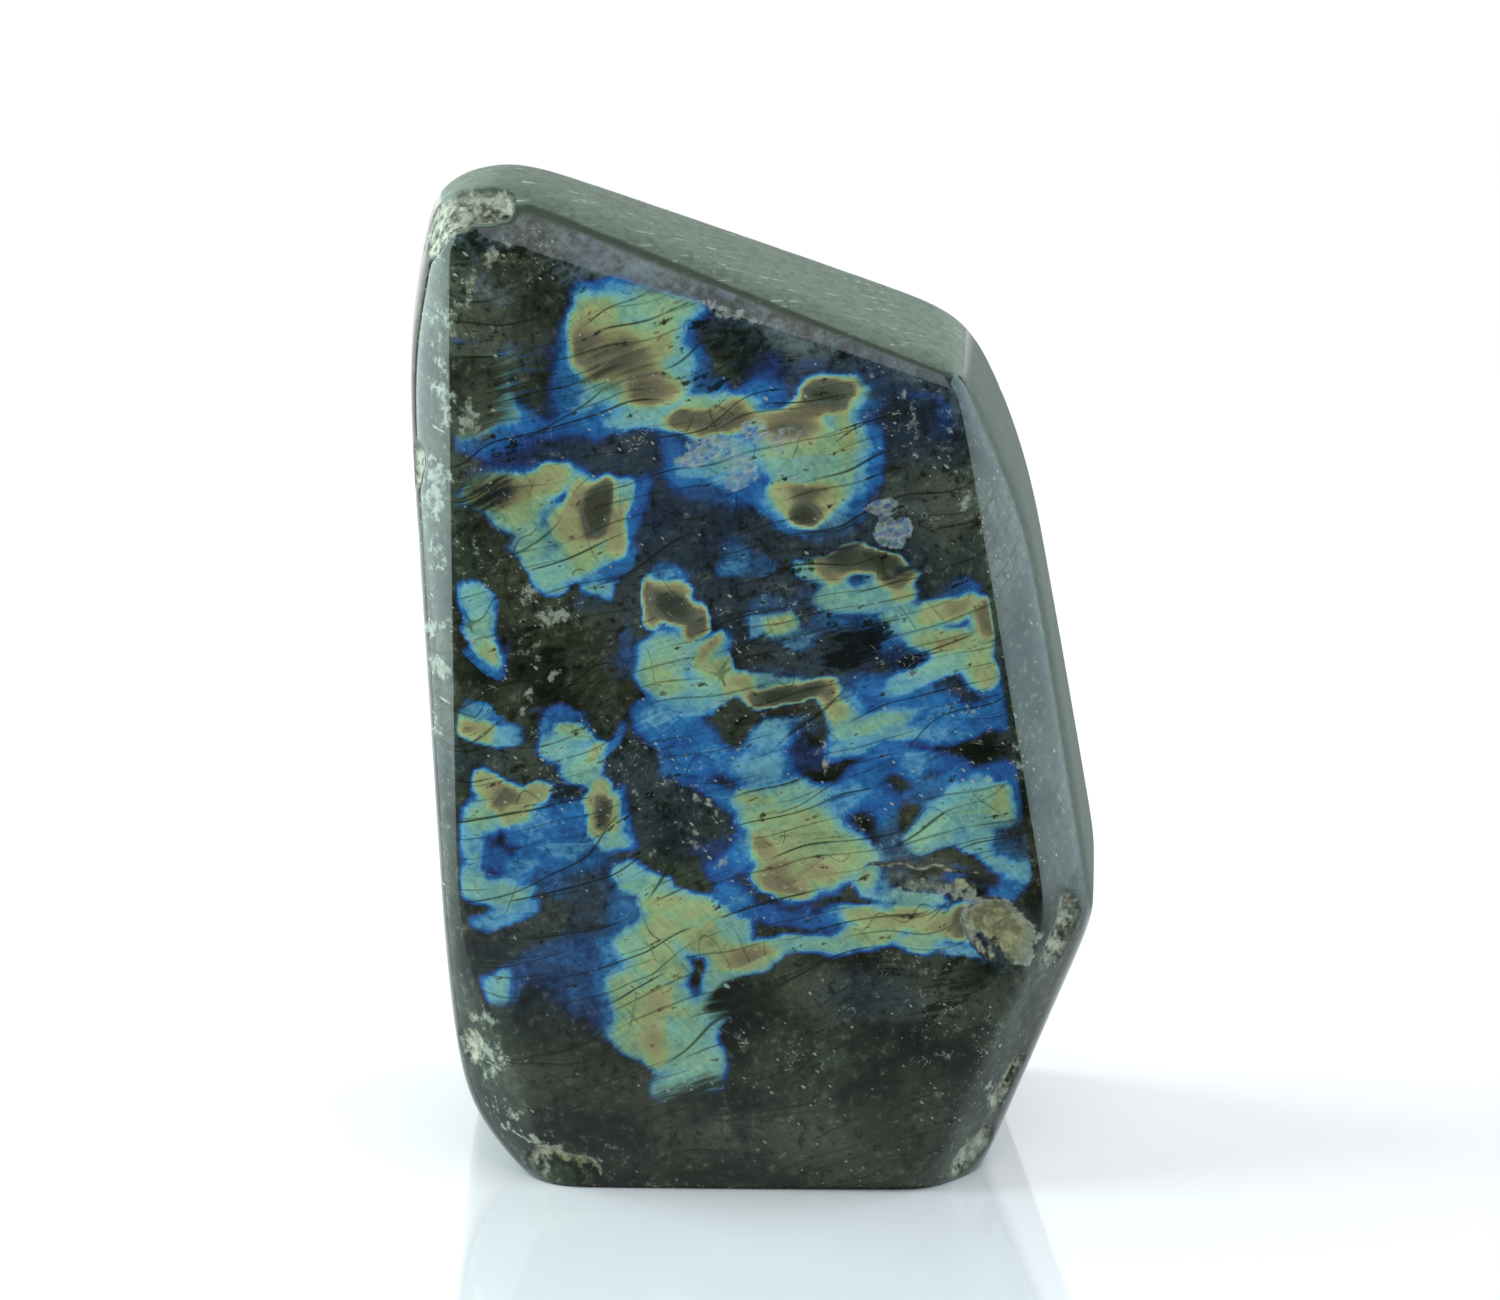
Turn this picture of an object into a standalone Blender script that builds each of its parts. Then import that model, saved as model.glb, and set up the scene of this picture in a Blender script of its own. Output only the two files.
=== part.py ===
"""A polished labradorite freeform: one piece of feldspar, ground face by face and polished by hand.

The stone stands on a flat cut base. +Z is up, the large front face looks along -Y, and the origin is the
middle of the base. Every ground face is a plane at its own distance from the stone's heart, and the
polishing wheel rounds the edges between them. Where the stone broke, a shallow chip with ledges across
its floor is left unpolished.
"""

import math

import bmesh
import bpy
from mathutils import Matrix, Vector, noise

# The stone's real height in metres. Every other length here is in units of the drawing, which shows the
# stone 111.2 high, so that a unit is a millimetre at this size.
STONE_HEIGHT = 0.1112
UNIT = STONE_HEIGHT / 111.2

# The heart is the point that every face is measured from. The flat base is cut at height zero, below it.
HEART = Vector((0.15, -0.85, 52.0))

# How crisp the polished edges are: a higher number leaves a tighter edge.
EDGE_CRISPNESS = 48

# Each ground face: the bearing that it faces (0 is the front, 90 the right) and how far it tilts up from
# the horizon, both in degrees, then its distance from the heart.
GROUND_FACES = {
    "front": (-3, 6, 19.0),
    "low_front": (-3, -2, 24.9),
    "top_bevel": (7, 34, 36.6),
    "bottom_front": (0, -41, 51.2),
    "left_bevel": (-45, 4, 35.8),
    "low_left_bevel": (-43, -12, 41.5),
    "left_side": (-90, -3.5, 36.6),
    "left_shoulder": (-85, 11, 46.2),
    "left_corner": (-86, 37, 65.2),
    "low_left": (-86, -15, 44.2),
    "bottom_left": (-82, -41, 55.8),
    "right_bevel": (48, 11.5, 33.8),
    "low_right_bevel": (51, -17.5, 43.6),
    "right_side": (86.5, 10, 34.1),
    "right_shoulder": (84, 22.3, 37.1),
    "low_right": (88, -22.5, 44.0),
    "top": (67, 68, 46.3),
    "top_left": (-80, 72, 65.4),
    "top_right": (88, 45, 45.4),
    "back": (178, 11.5, 15.0),
    "back_left": (-135, 6, 32.9),
    "back_right": (135, 9, 30.8),
    "back_top": (163, 47, 41.0),
    "heel": (179, -45, 53.9),
    "heel_left": (-135, -45, 62.8),
    "heel_right": (135, -45, 63.4),
    "base": (0, -90, 53.5),
}

# Chips, pits and the mouth of a crack: bearing and rise of the spot as seen from the heart, then the
# break's length, width and depth, and how far its length is turned from level, in degrees.
CHIPS = {
    "top_left_corner": (-74, 59, 10.0, 5.4, 1.3, 18),
    "upper_left_pit": (-66, 58, 6.4, 3.0, 0.6, 12),
    "left_edge_pit": (-76, 35, 5.0, 2.8, 0.7, 80),
    "left_edge_notch": (-78, 26, 4.0, 2.4, 0.6, 85),
    "right_ledge": (49, -32, 9.0, 5.6, 1.0, -42),
    "right_bevel_chip": (60, -31, 8.0, 4.0, 1.0, 66),
    "crack_mouth": (41, -29, 15.0, 2.0, 0.6, -6),
    "right_foot_chip": (52, -58, 6.4, 4.4, 1.0, 30),
    "low_right_chip": (57, -51, 7.0, 2.8, 0.9, 65),
    "left_foot_chip": (-45, -58, 8.6, 3.2, 0.9, -6),
    "low_left_pit": (-62, -45, 5.0, 3.6, 0.5, 60),
    "back_corner_chip": (110, 55, 12.0, 7.0, 1.6, 35),
    "back_edge_scar": (-123, -12, 18.0, 7.0, 1.5, 80),
    "back_foot_chip": (-136, -55, 9.0, 5.0, 1.3, 0),
}

# Feldspar breaks along two directions at right angles, so a break's outline is squarer than an ellipse.
SQUARENESS = 3.4

# The outline also wanders by these shares of its half size, on grains of these shares of its width.
NOISE_SEED = 7
WANDER = 0.34
WANDER_GRAIN = 0.75
RAGGED = 0.12
RAGGED_GRAIN = 0.22

# The floor of a break slopes down towards one long side, and ledges make this share of its depth.
FLOOR_SLOPE = 0.3
LEDGES = 3
LEDGE_SHARE = 0.6

# The block is divided finely to grind it, then flat stretches are thinned to few triangles.
BLOCK_SIZE = Vector((78.0, 46.0, 112.0))
GRID_SPACING = 0.55
KEPT_TRIANGLES = 7200

LAP_DEPTH = 20.0
SHARP_EDGE = math.radians(35)


def facing(bearing, rise):
    """The unit vector of a bearing and a rise in degrees. Bearing 0 looks out of the front face, along -Y."""
    turned = math.radians(bearing)
    tilted = math.radians(rise)
    return Vector(
        (math.sin(turned) * math.cos(tilted), -math.cos(turned) * math.cos(tilted), math.sin(tilted))
    )


FACE_PLANES = [facing(bearing, rise) / reach for bearing, rise, reach in GROUND_FACES.values()]


def ground_point(direction):
    """The point of the polished surface along a unit direction from the heart.

    A face stops the ray where direction . normal / reach is the inverse of the ray's length. Adding high
    powers of these inverses picks the nearest face, and rounds the edge where two are equally near.
    """
    inverse = 0.0
    for plane in FACE_PLANES:
        inverse += max(0.0, direction.dot(plane)) ** EDGE_CRISPNESS
    return HEART + direction * inverse ** (-1.0 / EDGE_CRISPNESS)


class Chip:
    """One break in the surface: a shallow, ragged hollow that goes down in ledges."""

    def __init__(self, bearing, rise, length, width, depth, turn):
        degree = 1.0
        self.centre = ground_point(facing(bearing, rise))
        east = ground_point(facing(bearing + degree, rise)) - self.centre
        north = ground_point(facing(bearing, rise + degree)) - self.centre
        self.normal = east.cross(north).normalized()
        level = Vector((0, 0, 1)).cross(self.normal).normalized()
        self.along = Matrix.Rotation(math.radians(turn), 3, self.normal) @ level
        self.across = self.normal.cross(self.along)
        self.length = length
        self.width = width
        self.depth = depth

    def taken_off(self, point):
        """How deep the break lies under a point of the polished surface."""
        offset = point - self.centre
        if offset.length > self.length:
            return 0.0
        stray = noise.noise_vector(point / (WANDER_GRAIN * self.width)) * WANDER
        stray += noise.noise_vector(point / (RAGGED_GRAIN * self.width)) * RAGGED
        long_way = 2 * offset.dot(self.along) / self.length + stray.x
        short_way = 2 * offset.dot(self.across) / self.width + stray.y
        spread = abs(long_way) ** SQUARENESS + abs(short_way) ** SQUARENESS
        if spread >= 1.0:
            return 0.0
        bowl = math.sqrt(1.0 - spread) * (1.0 - FLOOR_SLOPE * (1.0 - short_way) / 2)
        ledge = math.ceil(LEDGES * (bowl + stray.z)) / LEDGES
        return self.depth * ((1.0 - LEDGE_SHARE) * bowl + LEDGE_SHARE * min(max(ledge, 0.0), 1.0))


def block_grid():
    """The points and squares of the sawn block, each of its sides divided evenly."""
    numbers = {}
    squares = []
    counts = [round(edge / GRID_SPACING) for edge in BLOCK_SIZE]
    for axis in range(3):
        first, second = (axis + 1) % 3, (axis + 2) % 3
        for end in (0, counts[axis]):
            for i in range(counts[first]):
                for j in range(counts[second]):
                    square = []
                    for di, dj in ((0, 0), (1, 0), (1, 1), (0, 1)):
                        place = [end, end, end]
                        place[first] = i + di
                        place[second] = j + dj
                        square.append(numbers.setdefault(tuple(place), len(numbers)))
                    squares.append(square if end else square[::-1])
    points = []
    for place in numbers:
        share = Vector([place[axis] / counts[axis] - 0.5 for axis in range(3)])
        points.append(share * BLOCK_SIZE)
    return points, squares


def new_object(name, points, faces):
    """A mesh object, turned from units of the drawing to metres."""
    mesh = bpy.data.meshes.new(name)
    mesh.from_pydata([point * UNIT for point in points], [], faces)
    made = bpy.data.objects.new(name, mesh)
    bpy.context.scene.collection.objects.link(made)
    return made


def ground_block():
    """The block with every point drawn in to the polished surface, or to the floor of a chip."""
    chips = [Chip(*sizes) for sizes in CHIPS.values()]
    points, squares = block_grid()
    worn = []
    for corner in points:
        point = ground_point(corner.normalized())
        depths = [chip.taken_off(point) for chip in chips]
        deepest = max(depths)
        worn.append(point - chips[depths.index(deepest)].normal * deepest)
    return new_object("labradorite_stone", worn, squares)


def flat_lap():
    """Everything below the base plane, which the flat lap takes off."""
    block = bmesh.new()
    bmesh.ops.create_cube(block, size=1.0)
    size = Vector((2 * BLOCK_SIZE.x, 2 * BLOCK_SIZE.y, LAP_DEPTH))
    points = [corner.co * size - Vector((0, 0, LAP_DEPTH / 2)) for corner in block.verts]
    faces = [[corner.index for corner in face.verts] for face in block.faces]
    block.free()
    lap = new_object("flat_lap", points, faces)
    lap.hide_render = True
    lap.display_type = "WIRE"
    return lap


def labradorite():
    """Polished labradorite: a dark olive-grey body under a clear polish."""
    material = bpy.data.materials.new("labradorite")
    material.use_nodes = True
    surface = material.node_tree.nodes["Principled BSDF"]
    surface.inputs["Base Color"].default_value = (0.062, 0.085, 0.080, 1.0)
    surface.inputs["Roughness"].default_value = 0.18
    surface.inputs["Metallic"].default_value = 0.0
    surface.inputs["IOR"].default_value = 1.56
    return material


def labradorite_stone():
    stone = ground_block()
    stone.data.materials.append(labradorite())

    thin = stone.modifiers.new("few triangles on flat faces", "DECIMATE")
    thin.ratio = KEPT_TRIANGLES / (2 * len(stone.data.polygons))

    base = stone.modifiers.new("flat base", "BOOLEAN")
    base.operation = "DIFFERENCE"
    base.solver = "EXACT"
    base.object = flat_lap()

    stone.data.shade_smooth()
    stone.data.set_sharp_from_angle(angle=SHARP_EDGE)


for old in list(bpy.data.objects):
    bpy.data.objects.remove(old)

noise.seed_set(NOISE_SEED)
labradorite_stone()
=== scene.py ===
"""The looks of a polished labradorite freeform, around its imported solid.

The real stone is one piece of feldspar. Thin layers inside it split the light, so its front face flashes
blue, green and gold in patches with sharp borders, between a dark grey-green body and fine cleavage cracks.
"""

import math

import bpy
import numpy
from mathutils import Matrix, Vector


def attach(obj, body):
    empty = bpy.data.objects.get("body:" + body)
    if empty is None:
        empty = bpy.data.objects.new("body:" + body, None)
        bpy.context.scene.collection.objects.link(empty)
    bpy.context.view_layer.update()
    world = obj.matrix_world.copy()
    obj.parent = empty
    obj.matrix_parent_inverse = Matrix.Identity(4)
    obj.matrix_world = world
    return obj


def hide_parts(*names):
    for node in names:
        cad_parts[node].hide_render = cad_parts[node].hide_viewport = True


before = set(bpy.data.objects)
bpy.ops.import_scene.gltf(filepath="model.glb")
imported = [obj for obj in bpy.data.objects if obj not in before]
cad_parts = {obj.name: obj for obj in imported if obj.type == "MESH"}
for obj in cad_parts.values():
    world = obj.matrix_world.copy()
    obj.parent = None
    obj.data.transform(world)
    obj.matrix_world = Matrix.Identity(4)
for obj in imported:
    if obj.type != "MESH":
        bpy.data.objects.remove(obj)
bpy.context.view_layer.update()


# The polished stone. One natural piece, ground flat face by face on a lap and polished, with edges that
# the wheel has rounded. Its skin follows the same ground faces as the solid, finely enough for smooth
# reflections, and takes over the solid's chips, where it gets the ledges of a fresh break.
MM = 0.001
HEART = Vector((0.15, -0.85, 52.0)) * MM
BLOCK_SIZE = Vector((78.0, 46.0, 112.0)) * MM
GRID_SPACING = 0.6 * MM
EDGE_CRISPNESS = 48.0
USUAL_REACH = 40.0 * MM
LONGEST_RAY = 0.2
LEAST_FALL = 0.001

# Bearing and rise of each ground face, in degrees, and its distance from the heart in millimetres.
GROUND_FACES = {
    "front": (-3, 6, 19.0),
    "low_front": (-3, -2, 24.9),
    "top_bevel": (7, 34, 36.6),
    "bottom_front": (0, -41, 51.2),
    "left_bevel": (-45, 4, 35.8),
    "low_left_bevel": (-43, -12, 41.5),
    "left_side": (-90, -3.5, 36.6),
    "left_shoulder": (-85, 11, 46.2),
    "left_corner": (-86, 37, 65.2),
    "low_left": (-86, -15, 44.2),
    "bottom_left": (-82, -41, 55.8),
    "right_bevel": (48, 11.5, 33.8),
    "low_right_bevel": (51, -17.5, 43.6),
    "right_side": (86.5, 10, 34.1),
    "right_shoulder": (84, 22.3, 37.1),
    "low_right": (88, -22.5, 44.0),
    "top": (67, 68, 46.3),
    "top_left": (-80, 72, 65.4),
    "top_right": (88, 45, 45.4),
    "back": (178, 11.5, 15.0),
    "back_left": (-135, 6, 32.9),
    "back_right": (135, 9, 30.8),
    "back_top": (163, 47, 41.0),
    "heel": (179, -45, 53.9),
    "heel_left": (-135, -45, 62.8),
    "heel_right": (135, -45, 63.4),
    "base": (0, -90, 53.5),
}

# The polish takes a trace off the ground faces. A dent in the solid deeper than the first depth begins
# to be a chip, and from the second it is one. Chips get a relief of grains, of which this share stands
# out of the solid's chip, and faces get a slight wave.
POLISH_LOSS = 0.03 * MM
CHIP_FROM = 0.12 * MM
CHIP_SURE = 0.34 * MM
CHIP_RELIEF = 0.35 * MM
CHIP_GRAIN = 1.5 * MM
RELIEF_OUT = 0.25
FACE_WAVE = 0.07 * MM
WAVE_LENGTH = 16.0 * MM

# The sizes of the body's clouds, of the flash fields on the back, and of the slow drifts in the slabs.
CLOUD_SIZE = 9.0 * MM
REAR_FIELD = 26.0 * MM
DRIFT_SIZE = 13.0 * MM


def facing(bearing, rise):
    """The unit vector of a bearing and a rise in degrees. Bearing 0 looks out of the front, along -Y."""
    turned = math.radians(bearing)
    tilted = math.radians(rise)
    return Vector(
        (math.sin(turned) * math.cos(tilted), -math.cos(turned) * math.cos(tilted), math.sin(tilted))
    )


class Signal:
    """A socket of a node tree. Arithmetic on signals adds the Math nodes that carry it out."""

    def __init__(self, bench, socket):
        self.bench = bench
        self.socket = socket

    def __add__(self, other):
        return self.bench.maths("ADD", self, other)

    def __radd__(self, other):
        return self.bench.maths("ADD", other, self)

    def __sub__(self, other):
        return self.bench.maths("SUBTRACT", self, other)

    def __rsub__(self, other):
        return self.bench.maths("SUBTRACT", other, self)

    def __mul__(self, other):
        return self.bench.maths("MULTIPLY", self, other)

    def __rmul__(self, other):
        return self.bench.maths("MULTIPLY", other, self)

    def __truediv__(self, other):
        return self.bench.maths("DIVIDE", self, other)

    def __rtruediv__(self, other):
        return self.bench.maths("DIVIDE", other, self)

    def __pow__(self, other):
        return self.bench.maths("POWER", self, other)


class Bench:
    """Where the nodes of one tree are put together."""

    def __init__(self, tree):
        self.tree = tree

    def node(self, kind, settings, inputs, output=0):
        """A node of this type: first its settings, then its sockets set or linked, by place or name."""
        made = self.tree.nodes.new(kind)
        for name, setting in settings.items():
            if name == "stops":
                lay_stops(made.color_ramp, setting)
            else:
                setattr(made, name, setting)
        for place, value in inputs.items():
            socket = made.inputs[place]
            if isinstance(value, Signal):
                self.tree.links.new(value.socket, socket)
            else:
                socket.default_value = value
        return Signal(self, made.outputs[output])

    def maths(self, operation, *values):
        return self.node("ShaderNodeMath", {"operation": operation}, dict(enumerate(values)))

    def vector(self, operation, *values):
        return self.node("ShaderNodeVectorMath", {"operation": operation}, dict(enumerate(values)))

    def scaled(self, vector, factor):
        return self.node("ShaderNodeVectorMath", {"operation": "SCALE"}, {0: vector, "Scale": factor})

    def dot(self, vector, way):
        return self.node("ShaderNodeVectorMath", {"operation": "DOT_PRODUCT"}, {0: vector, 1: way}, 1)

    def smooth(self, value, start, end, low=0.0, high=1.0):
        """Goes smoothly from low to high while the value goes from start to end, and stays there."""
        return self.node(
            "ShaderNodeMapRange",
            {"interpolation_type": "SMOOTHSTEP"},
            {0: value, 1: start, 2: end, 3: low, 4: high},
        )

    def noise(self, place, size, detail=2.0, roughness=0.5, output=0):
        """Noise with features of about this size, from 0 to 1."""
        return self.node(
            "ShaderNodeTexNoise",
            {},
            {"Vector": place, "Scale": 1.0 / size, "Detail": detail, "Roughness": roughness},
            output,
        )

    def store(self, geometry, name, value, kind="FLOAT"):
        """The geometry, with a value of this name kept at each of its points."""
        settings = {"data_type": kind, "domain": "POINT"}
        inputs = {"Geometry": geometry, "Name": name, "Value": value}
        return self.node("GeometryNodeStoreNamedAttribute", settings, inputs)


def lay_stops(ramp, stops):
    """Gives a colour ramp these (place, colour) stops."""
    while len(ramp.elements) < len(stops):
        ramp.elements.new(1.0)
    for element, (place, colour) in zip(ramp.elements, stops):
        element.position = place
        element.color = (*colour, 1.0)


def polished_skin_tree():
    """The Geometry Nodes tree that grinds a fine block grid to the stone's faces, chips it and marks it."""
    tree = bpy.data.node_groups.new("polished_skin", "GeometryNodeTree")
    for name, kind in (
        ("Solid", "NodeSocketObject"),
        ("Block Size", "NodeSocketVector"),
        ("Grid Spacing", "NodeSocketFloat"),
        ("Heart", "NodeSocketVector"),
        ("Edge Crispness", "NodeSocketFloat"),
        ("Chip Relief", "NodeSocketFloat"),
        ("Finish", "NodeSocketMaterial"),
    ):
        tree.interface.new_socket(name, in_out="INPUT", socket_type=kind)
    tree.interface.new_socket("Geometry", in_out="OUTPUT", socket_type="NodeSocketGeometry")
    bench = Bench(tree)
    given = tree.nodes.new("NodeGroupInput")

    def named(name):
        return Signal(bench, given.outputs[name])

    size = named("Block Size")
    spacing = named("Grid Spacing")
    heart = named("Heart")
    crispness = named("Edge Crispness")

    split = bench.node("ShaderNodeSeparateXYZ", {}, {0: size}).socket.node
    counts = {}
    for number, name in enumerate(("Vertices X", "Vertices Y", "Vertices Z")):
        counts[name] = bench.maths("ROUND", Signal(bench, split.outputs[number]) / spacing) + 1.0
    block = bench.node("GeometryNodeMeshCube", {}, {"Size": size, **counts})

    # Along a direction from the heart, the nearest ground face stops the skin, and crispness sets how
    # tightly two equally near faces meet. There edge is 1, and on a flat face it is 0.
    corner = bench.node("GeometryNodeInputPosition", {}, {})
    direction = bench.vector("NORMALIZE", corner)
    inverse = 0.0
    nearest = 0.0
    for bearing, rise, reach in GROUND_FACES.values():
        plane = facing(bearing, rise) * (USUAL_REACH / (reach * MM))
        met = bench.maths("MAXIMUM", bench.dot(direction, plane), 0.0)
        term = met**crispness
        inverse = term + inverse
        nearest = bench.maths("MAXIMUM", term, nearest)
    reach = USUAL_REACH / inverse ** (1.0 / crispness) - POLISH_LOSS
    edge = 2.0 - 2.0 * nearest / inverse

    # The faces wave slightly, and the flat base stops every direction that falls.
    wave = bench.noise(direction, WAVE_LENGTH / USUAL_REACH, detail=1.0)
    reach = reach - FACE_WAVE * wave
    fall = bench.maths("MAXIMUM", bench.dot(direction, (0.0, 0.0, -1.0)), LEAST_FALL)
    heart_height = bench.dot(heart, (0.0, 0.0, 1.0))
    reach = bench.maths("MINIMUM", reach, heart_height / fall)

    # Where the solid lies deeper than that, it is chipped, and the skin goes down to it in fine grains.
    solid = bench.node("GeometryNodeObjectInfo", {}, {"Object": named("Solid")}, "Geometry")
    ray = {"Source Position": heart, "Ray Direction": direction, "Ray Length": LONGEST_RAY}
    hit = bench.node("GeometryNodeRaycast", {}, {"Target Geometry": solid, **ray}, "Hit Distance")
    dent = reach - hit
    broken = bench.smooth(dent, CHIP_FROM, CHIP_SURE)
    grains = bench.noise(direction, CHIP_GRAIN / USUAL_REACH, detail=3.0)
    relief = named("Chip Relief") * (grains - RELIEF_OUT)
    worn_or_edge_shade = reach - broken * (dent + relief)
    ground_place = bench.vector("ADD", heart, bench.scaled(direction, worn_or_edge_shade))

    shaped = block
    for name, share in (
        ("broken", broken),
        ("edge", edge),
        ("cloud", bench.noise(ground_place, CLOUD_SIZE, detail=3.0, roughness=0.6)),
        ("rear", bench.noise(ground_place, REAR_FIELD, detail=2.0, roughness=0.45)),
    ):
        shaped = bench.store(shaped, name, share)
    drift = bench.noise(ground_place, DRIFT_SIZE, detail=1.0, output=1)
    shaped = bench.store(shaped, "drift", drift, "FLOAT_VECTOR")
    shaped = bench.node("GeometryNodeSetPosition", {}, {"Geometry": shaped, "Position": ground_place})

    # Where each point is seen from the front, in millimetres, with a wander that makes borders uneven.
    seen = bench.scaled(corner, 1.0 / MM)
    for size_mm, sway in ((SLOW_WANDER, SLOW_SWAY), (QUICK_WANDER, QUICK_SWAY)):
        stray = bench.noise(corner, size_mm * MM, detail=1.0, output=1)
        seen = bench.vector("MULTIPLY_ADD", stray, (sway, 0.0, sway), seen)
        seen = bench.vector("SUBTRACT", seen, (sway / 2, 0.0, sway / 2))
    shaped = bench.store(shaped, "seen", seen, "FLOAT_VECTOR")
    smooth = bench.node("GeometryNodeSetShadeSmooth", {}, {"Geometry": shaped})
    real = bench.node("GeometryNodeRealizeInstances", {}, {"Geometry": smooth})
    dressed = bench.node("GeometryNodeSetMaterial", {}, {"Geometry": real, "Material": named("Finish")})
    tree.links.new(dressed.socket, tree.nodes.new("NodeGroupOutput").inputs[0])
    return tree


def grown(name, tree, **given):
    """A plain mesh object made by a Geometry Nodes tree from these inputs."""
    seed = bpy.data.objects.new(name + "_seed", bpy.data.meshes.new(name + "_seed"))
    bpy.context.scene.collection.objects.link(seed)
    modifier = seed.modifiers.new(tree.name, "NODES")
    modifier.node_group = tree
    sockets = {item.name: item.identifier for item in tree.interface.items_tree if item.in_out == "INPUT"}
    for label, value in given.items():
        modifier[sockets[label.replace("_", " ").title()]] = value
    graph = bpy.context.evaluated_depsgraph_get()
    mesh = bpy.data.meshes.new_from_object(seed.evaluated_get(graph))
    mesh.name = name
    bpy.data.objects.remove(seed)
    made = bpy.data.objects.new(name, mesh)
    bpy.context.scene.collection.objects.link(made)
    return made


# The looks. Thin layers in the feldspar flash on the front face, in an order of colours that runs from
# indigo and blue through green and gold to brown, as their spacing grows. Each spot below is laid on a
# straight front view: its middle across and down and half its width and height in pixels of that view, its
# turn anticlockwise in degrees, and the order that it shows.
VIEW_MIDDLE = (750.0, 620.0)
VIEW_MIDDLE_AT = (-0.85, 64.1)
PIXEL_ACROSS = 0.1112
PIXEL_UP = 0.113

UPPER_LEFT = [
    (600, 322, 22, 24, 0, 0.78),
    (612, 300, 34, 12, 0, 0.46),
    (655, 312, 46, 20, 10, 0.68),
    (676, 330, 30, 20, 0, 0.72),
    (590, 365, 20, 30, 0, 0.95),
    (628, 366, 46, 34, 15, 1.03),
    (672, 345, 18, 14, 20, 0.84),
    (566, 372, 12, 34, -10, 0.40),
    (572, 400, 18, 14, 40, 0.46),
    (608, 402, 36, 14, 30, 0.62),
    (648, 396, 36, 20, 20, 0.95),
    (688, 362, 16, 30, 0, 0.58),
    (702, 372, 12, 20, 0, 0.38),
    (596, 426, 40, 18, 10, 0.44),
    (560, 440, 46, 14, 15, 0.36),
    (640, 428, 32, 14, 15, 0.60),
    (474, 400, 40, 52, 0, 1.03),
    (514, 398, 12, 44, 0, 0.62),
    (528, 400, 10, 50, 0, 0.40),
    (548, 392, 14, 50, 0, 0.22),
    (500, 320, 54, 40, 0, 0.00),
    (548, 300, 26, 44, 0, 0.08),
    (550, 460, 54, 14, 12, 0.12),
    (640, 462, 50, 18, 5, 0.08),
    (505, 452, 30, 10, 15, 0.36),
]
UPPER_MIDDLE = [
    (712, 392, 16, 8, 10, 0.42),
    (704, 404, 24, 10, 15, 0.66),
    (690, 422, 26, 10, 20, 0.97),
    (735, 412, 30, 10, 15, 0.86),
    (728, 428, 28, 10, 10, 0.95),
    (765, 400, 18, 14, 15, 0.34),
    (745, 372, 60, 18, 0, 0.12),
    (722, 345, 60, 16, -8, 0.02),
    (790, 372, 34, 16, 10, 0.28),
    (800, 420, 40, 12, 10, 0.93),
    (790, 440, 26, 14, 0, 0.97),
    (832, 402, 28, 20, 10, 1.14),
    (846, 440, 18, 40, 0, 0.78),
    (862, 440, 10, 50, 0, 0.54),
    (874, 440, 10, 56, 0, 0.38),
    (820, 462, 34, 26, 0, 0.70),
    (780, 462, 26, 22, 0, 0.68),
    (828, 500, 22, 24, 0, 0.82),
    (806, 512, 18, 14, 0, 1.16),
    (806, 492, 26, 10, 0, 0.97),
    (782, 500, 14, 16, -40, 0.80),
    (770, 512, 10, 22, 45, 0.46),
    (806, 534, 34, 8, 0, 0.42),
    (846, 520, 12, 16, -40, 0.44),
    (730, 470, 26, 26, 0, 0.58),
    (690, 470, 24, 24, 0, 0.48),
    (668, 455, 18, 14, 0, 0.40),
    (720, 500, 40, 18, 0, 0.36),
    (690, 520, 50, 18, 5, 0.10),
    (780, 550, 60, 12, 5, 0.12),
    (905, 400, 24, 30, 0, 0.12),
    (920, 450, 26, 40, 0, 0.10),
]
LEFT_OVAL = [
    (505, 500, 34, 20, 10, 0.93),
    (545, 492, 34, 12, 20, 0.84),
    (520, 520, 34, 18, 25, 0.76),
    (480, 540, 26, 26, 0, 0.02),
    (527, 552, 26, 18, 35, 0.66),
    (556, 572, 22, 18, 40, 0.60),
    (585, 558, 16, 20, -20, 0.72),
    (572, 530, 16, 16, 0, 0.80),
    (600, 512, 14, 26, -25, 1.16),
    (582, 505, 10, 20, -25, 0.86),
    (618, 530, 10, 28, -20, 0.84),
    (626, 500, 10, 16, -30, 0.62),
    (640, 520, 8, 34, -15, 0.38),
    (622, 566, 20, 10, 45, 0.44),
    (600, 592, 14, 14, 0, 0.52),
    (585, 610, 20, 10, 0, 0.32),
    (650, 545, 18, 26, 0, 0.14),
    (509, 578, 20, 16, -30, 0.00),
]
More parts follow.
